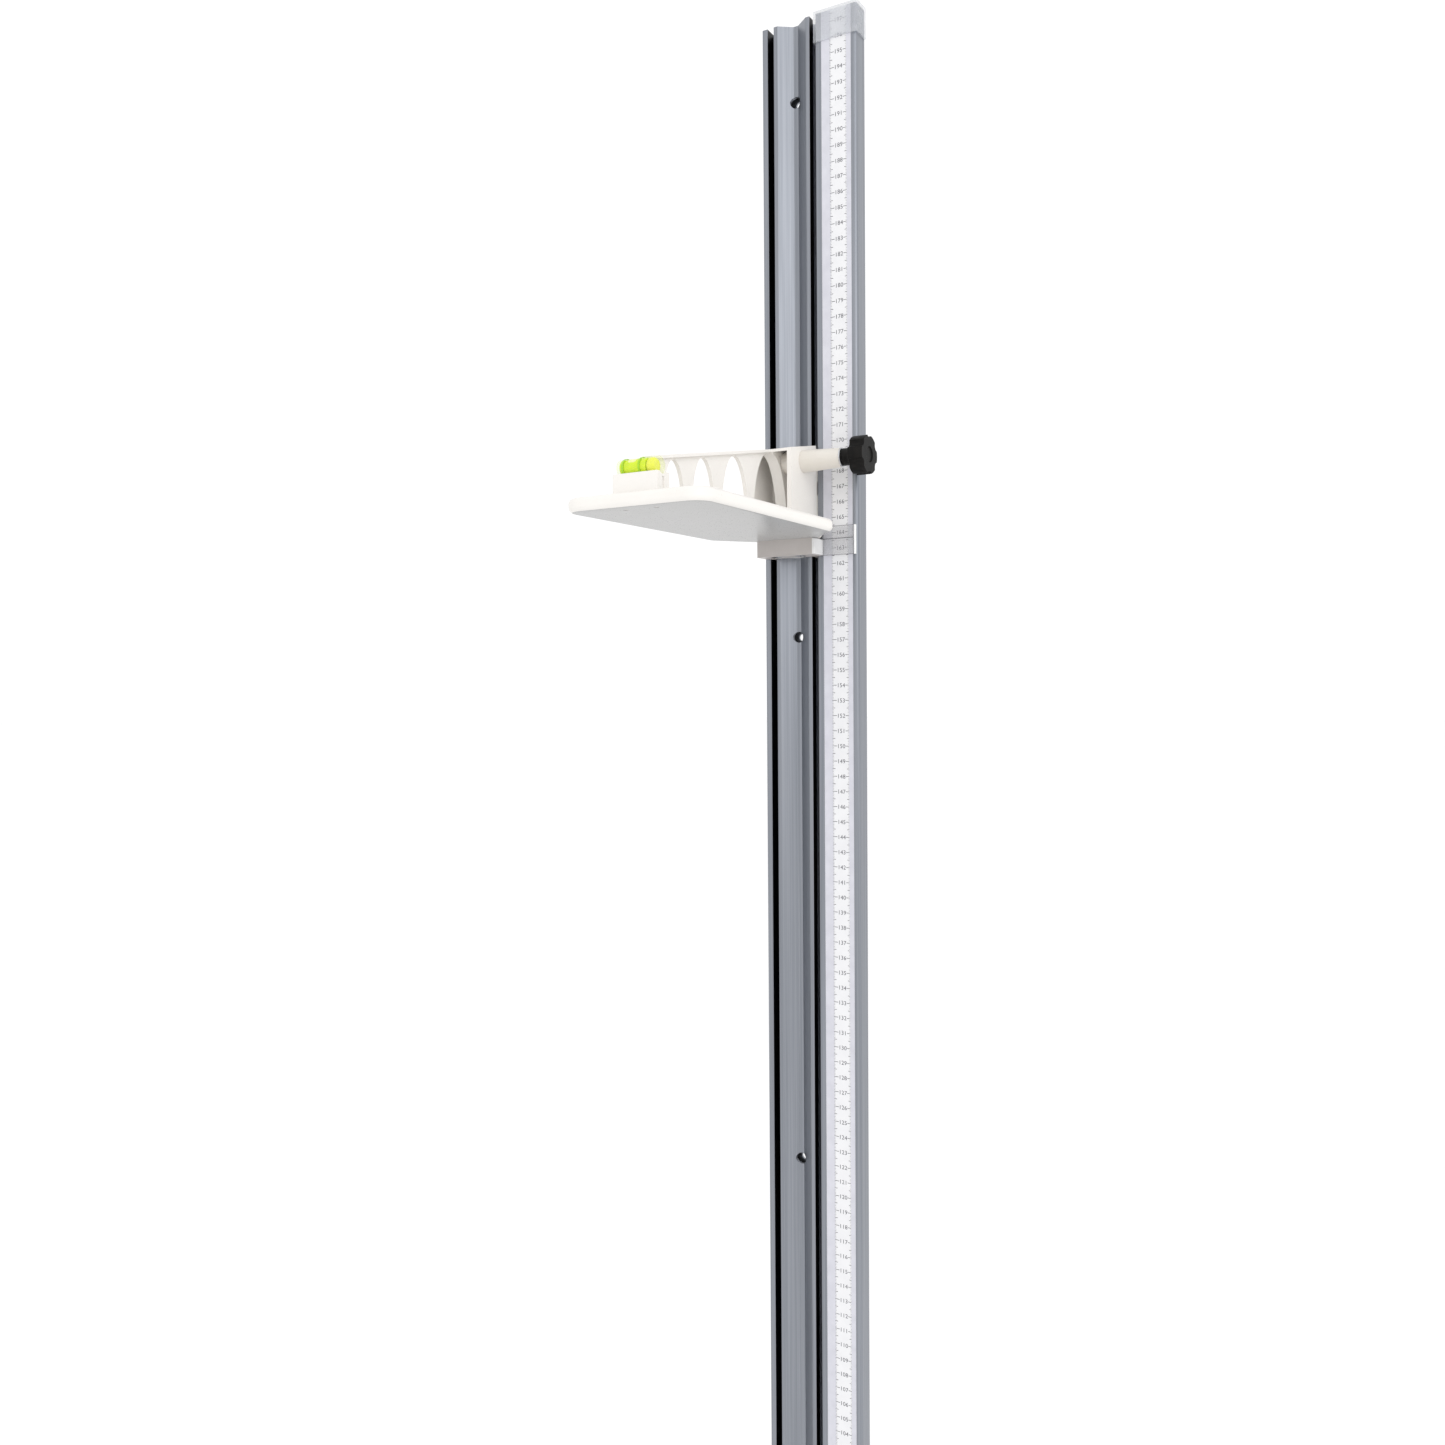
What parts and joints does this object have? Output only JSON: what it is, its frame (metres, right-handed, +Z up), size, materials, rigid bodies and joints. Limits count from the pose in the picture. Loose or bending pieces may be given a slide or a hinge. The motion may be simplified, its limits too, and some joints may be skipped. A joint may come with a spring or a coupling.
{
  "type": "wall-mounted height rod",
  "caption": "Aluminium wall rail with a centimetre tape and a sliding headpiece that has a spirit level, a clear reading window and a clamp knob.",
  "frame": {"origin": "centre of the rail's back face, on the wall, half way up the rail", "axes": "+X to the right along the wall, +Y into the wall, +Z up along the rail"},
  "size_m": [0.1092, 0.206, 1.5224],
  "materials": {
    "anodised": "satin clear-anodised extrusion",
    "tape": "printed film",
    "frosted": "translucent grey plastic",
    "white_moulding": "glossy warm white",
    "cream_moulding": "satin cream",
    "grey_moulding": "satin warm grey",
    "acetal": "natural acetal",
    "steel": "zinc plated",
    "brass": "turned",
    "clear": "polished clear acrylic",
    "black_print": "black ink",
    "vial": "clear acrylic",
    "fluid": "yellow-green spirit",
    "plug": "translucent yellow",
    "black_moulding": "fine-grained black",
    "black_rubber": "dense rubber"
  },
  "bodies": {
    "rail": {"rail_extrusion": "anodised", "scale_tape": "tape", "top_cap": "frosted", "bottom_cap": "frosted"},
    "headpiece": {"head_plate": "white_moulding", "carriage_body": "white_moulding", "clamp_sleeve": "cream_moulding", "sleeve_insert": "brass", "guide_block": "grey_moulding", "guide_shoe": "acetal", "guide_spring": "steel", "glide_pads": "acetal", "carriage_screws": "steel", "reading_window": "clear", "reading_line": "black_print", "level_holder": "white_moulding", "level_vial": "vial", "level_fluid": "fluid", "level_plug": "plug", "level_rings": "black_print"},
    "clamp_feed": {"thrust_washer": "steel"},
    "knob": {"knob_head": "black_moulding", "clamp_screw": "steel"},
    "brake": {"brake_pin": "steel", "brake_shoe": "black_rubber"}
  },
  "joints": [
    {"name": "head_slide", "type": "slide", "parent": "rail", "child": "headpiece", "axis": [0, 0, 1], "range_m": [-1.148, 0.26]},
    {"name": "knob_feed", "type": "slide", "parent": "headpiece", "child": "clamp_feed", "axis": [1, 0, 0], "range_m": [0, 0.001]},
    {"name": "knob_turn", "type": "hinge", "parent": "clamp_feed", "child": "knob", "pos_m": [0.04, -0.032, 0.4671], "axis": [1, 0, 0], "range_deg": [0, 360]},
    {"name": "brake_press", "type": "slide", "parent": "headpiece", "child": "brake", "axis": [0, 1, 0], "range_m": [-0.001, 0]}
  ],
  "couplings": [
    {"joint": "knob_turn", "follows": "knob_feed", "rad_per_m": 6283.2},
    {"joint": "brake_press", "follows": "knob_feed", "ratio": -1}
  ]
}
